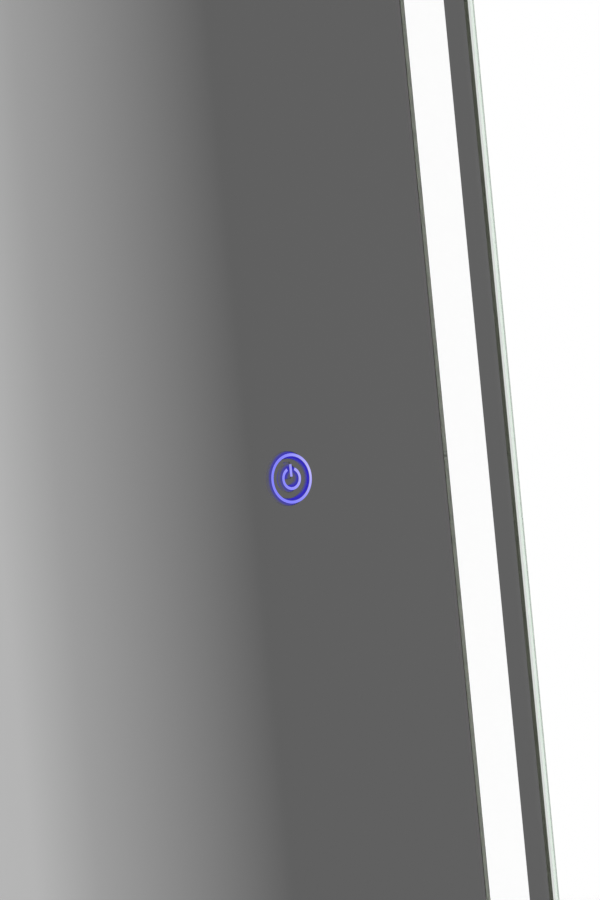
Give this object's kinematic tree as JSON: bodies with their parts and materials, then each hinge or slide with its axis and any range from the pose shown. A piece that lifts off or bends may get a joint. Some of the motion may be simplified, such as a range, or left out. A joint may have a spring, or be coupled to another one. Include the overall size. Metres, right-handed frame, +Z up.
{
  "type": "led arch mirror",
  "caption": "Frameless arched wall mirror with a frosted light band inside its edge, a touch switch behind the glass, a shallow lit case and a hook rail to hang it on.",
  "frame": {"origin": "on the wall plane, midway between the two screw holes of the wall rail", "axes": "+Z up, +X to the right as one faces the mirror, +Y into the wall; the glass faces -Y"},
  "size_m": [0.6, 0.0444, 0.8999],
  "materials": {
    "clear_glass": "clear float glass, ground edge",
    "silver": "wet-silvered mirror coat",
    "backing_paint": "matt backing paint",
    "frosted_glass": "sandblasted white, lit from behind",
    "icon_light": "etched lines, lit blue",
    "foam_tape": "closed-cell foam tape",
    "frame_aluminium": "satin anodised",
    "panel_steel": "galvanised sheet",
    "rail_steel": "zinc plated",
    "screw_steel": "zinc plated",
    "strip_board": "white flexible board",
    "chip_phosphor": "yellow phosphor",
    "driver_plastic": "moulded white",
    "board_green": "solder mask",
    "component_dark": "moulded and sleeved parts",
    "terminal_plastic": "moulded",
    "black_rubber": "moulded rubber",
    "copper": "tinned or bare copper",
    "sensor_plastic": "moulded black",
    "opal_plastic": "opal, lit blue from behind",
    "brown_insulation": "insulated wire",
    "earth_insulation": "insulated wire",
    "grey_insulation": "sheathed lead"
  },
  "bodies": {
    "wall_rail": {"wall_rail": "rail_steel", "rail_lip": "rail_steel"},
    "mirror": {"mirror_glass": "clear_glass", "silver_coat": "silver", "paint_coat": "backing_paint", "frosted_band": "frosted_glass", "touch_icon": "icon_light", "bonding_tape": "foam_tape", "arch_frame": "frame_aluminium", "bottom_frame": "frame_aluminium", "corner_brackets": "rail_steel", "bracket_screws": "screw_steel", "back_panel": "panel_steel", "panel_screws": "screw_steel", "fixing_screws": "screw_steel", "led_strip": "strip_board", "led_chips": "chip_phosphor", "driver_case": "driver_plastic", "driver_lid": "driver_plastic", "driver_board": "board_green", "driver_transformer": "component_dark", "driver_capacitors": "component_dark", "terminal_block": "terminal_plastic", "terminal_screws": "screw_steel", "cable_grommet": "black_rubber", "earth_screw": "screw_steel", "earth_tag": "copper", "sensor_case": "sensor_plastic", "sensor_board": "board_green", "sensor_leds": "chip_phosphor", "icon_diffuser": "opal_plastic", "touch_electrode": "copper", "sensor_gasket": "foam_tape", "mains_leads": "brown_insulation", "earth_lead": "earth_insulation", "driver_lead": "grey_insulation", "strip_leads": "grey_insulation", "lead_clip": "terminal_plastic", "hanging_rail": "rail_steel", "rail_hook": "rail_steel", "rail_rivets": "screw_steel", "wall_buffers": "black_rubber"}
  },
  "joints": [
    {"name": "lift_off", "type": "slide", "parent": "wall_rail", "child": "mirror", "axis": [0, 0, 1], "range_m": [0, 0.014]}
  ]
}
